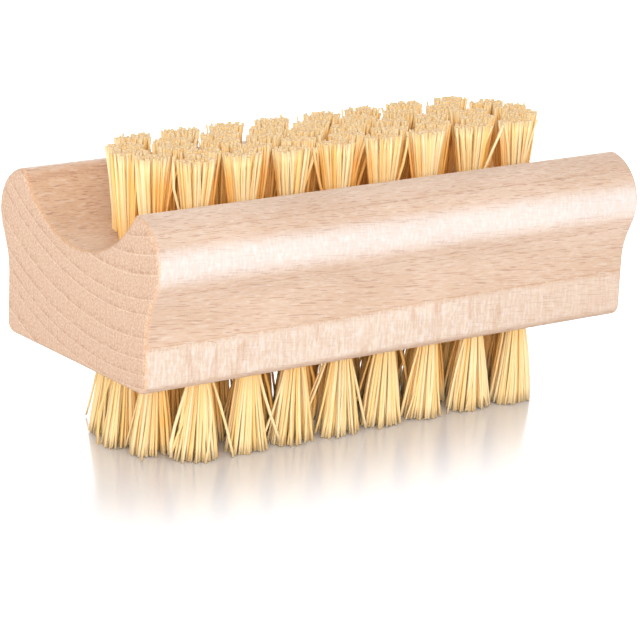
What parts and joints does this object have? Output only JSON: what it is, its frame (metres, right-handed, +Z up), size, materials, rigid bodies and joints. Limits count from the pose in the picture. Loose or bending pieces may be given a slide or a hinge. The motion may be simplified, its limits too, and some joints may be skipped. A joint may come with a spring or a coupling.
{
  "type": "nail brush",
  "caption": "Double-sided wooden nail brush: a channel between two rounded finger grips holds one field of plant-fibre tufts, and a second field fans out from the flat underside.",
  "frame": {"origin": "on the surface the brush stands on, at its lower bristle tips, under the middle of the body", "axes": "+X along the brush, +Y across it from the front grip to the back grip, +Z up"},
  "size_m": [0.095, 0.0464, 0.0477],
  "materials": {
    "beech": "fine sanded, unvarnished",
    "plant_fibre": "natural stiff fibre, cream to straw",
    "anchor_wire": "flat rolled wire"
  },
  "bodies": {
    "root": {"wooden_body": "beech", "upper_tufts_row_1": "plant_fibre", "upper_tufts_row_2": "plant_fibre", "upper_tufts_row_3": "plant_fibre", "upper_tufts_row_4": "plant_fibre", "upper_tufts_row_5": "plant_fibre", "lower_tufts_row_1": "plant_fibre", "lower_tufts_row_2": "plant_fibre", "lower_tufts_row_3": "plant_fibre", "lower_tufts_row_4": "plant_fibre", "lower_tufts_row_5": "plant_fibre", "upper_anchors_row_1": "anchor_wire", "upper_anchors_row_2": "anchor_wire", "upper_anchors_row_3": "anchor_wire", "upper_anchors_row_4": "anchor_wire", "upper_anchors_row_5": "anchor_wire", "lower_anchors_row_1": "anchor_wire", "lower_anchors_row_2": "anchor_wire", "lower_anchors_row_3": "anchor_wire", "lower_anchors_row_4": "anchor_wire", "lower_anchors_row_5": "anchor_wire"}
  },
  "joints": []
}
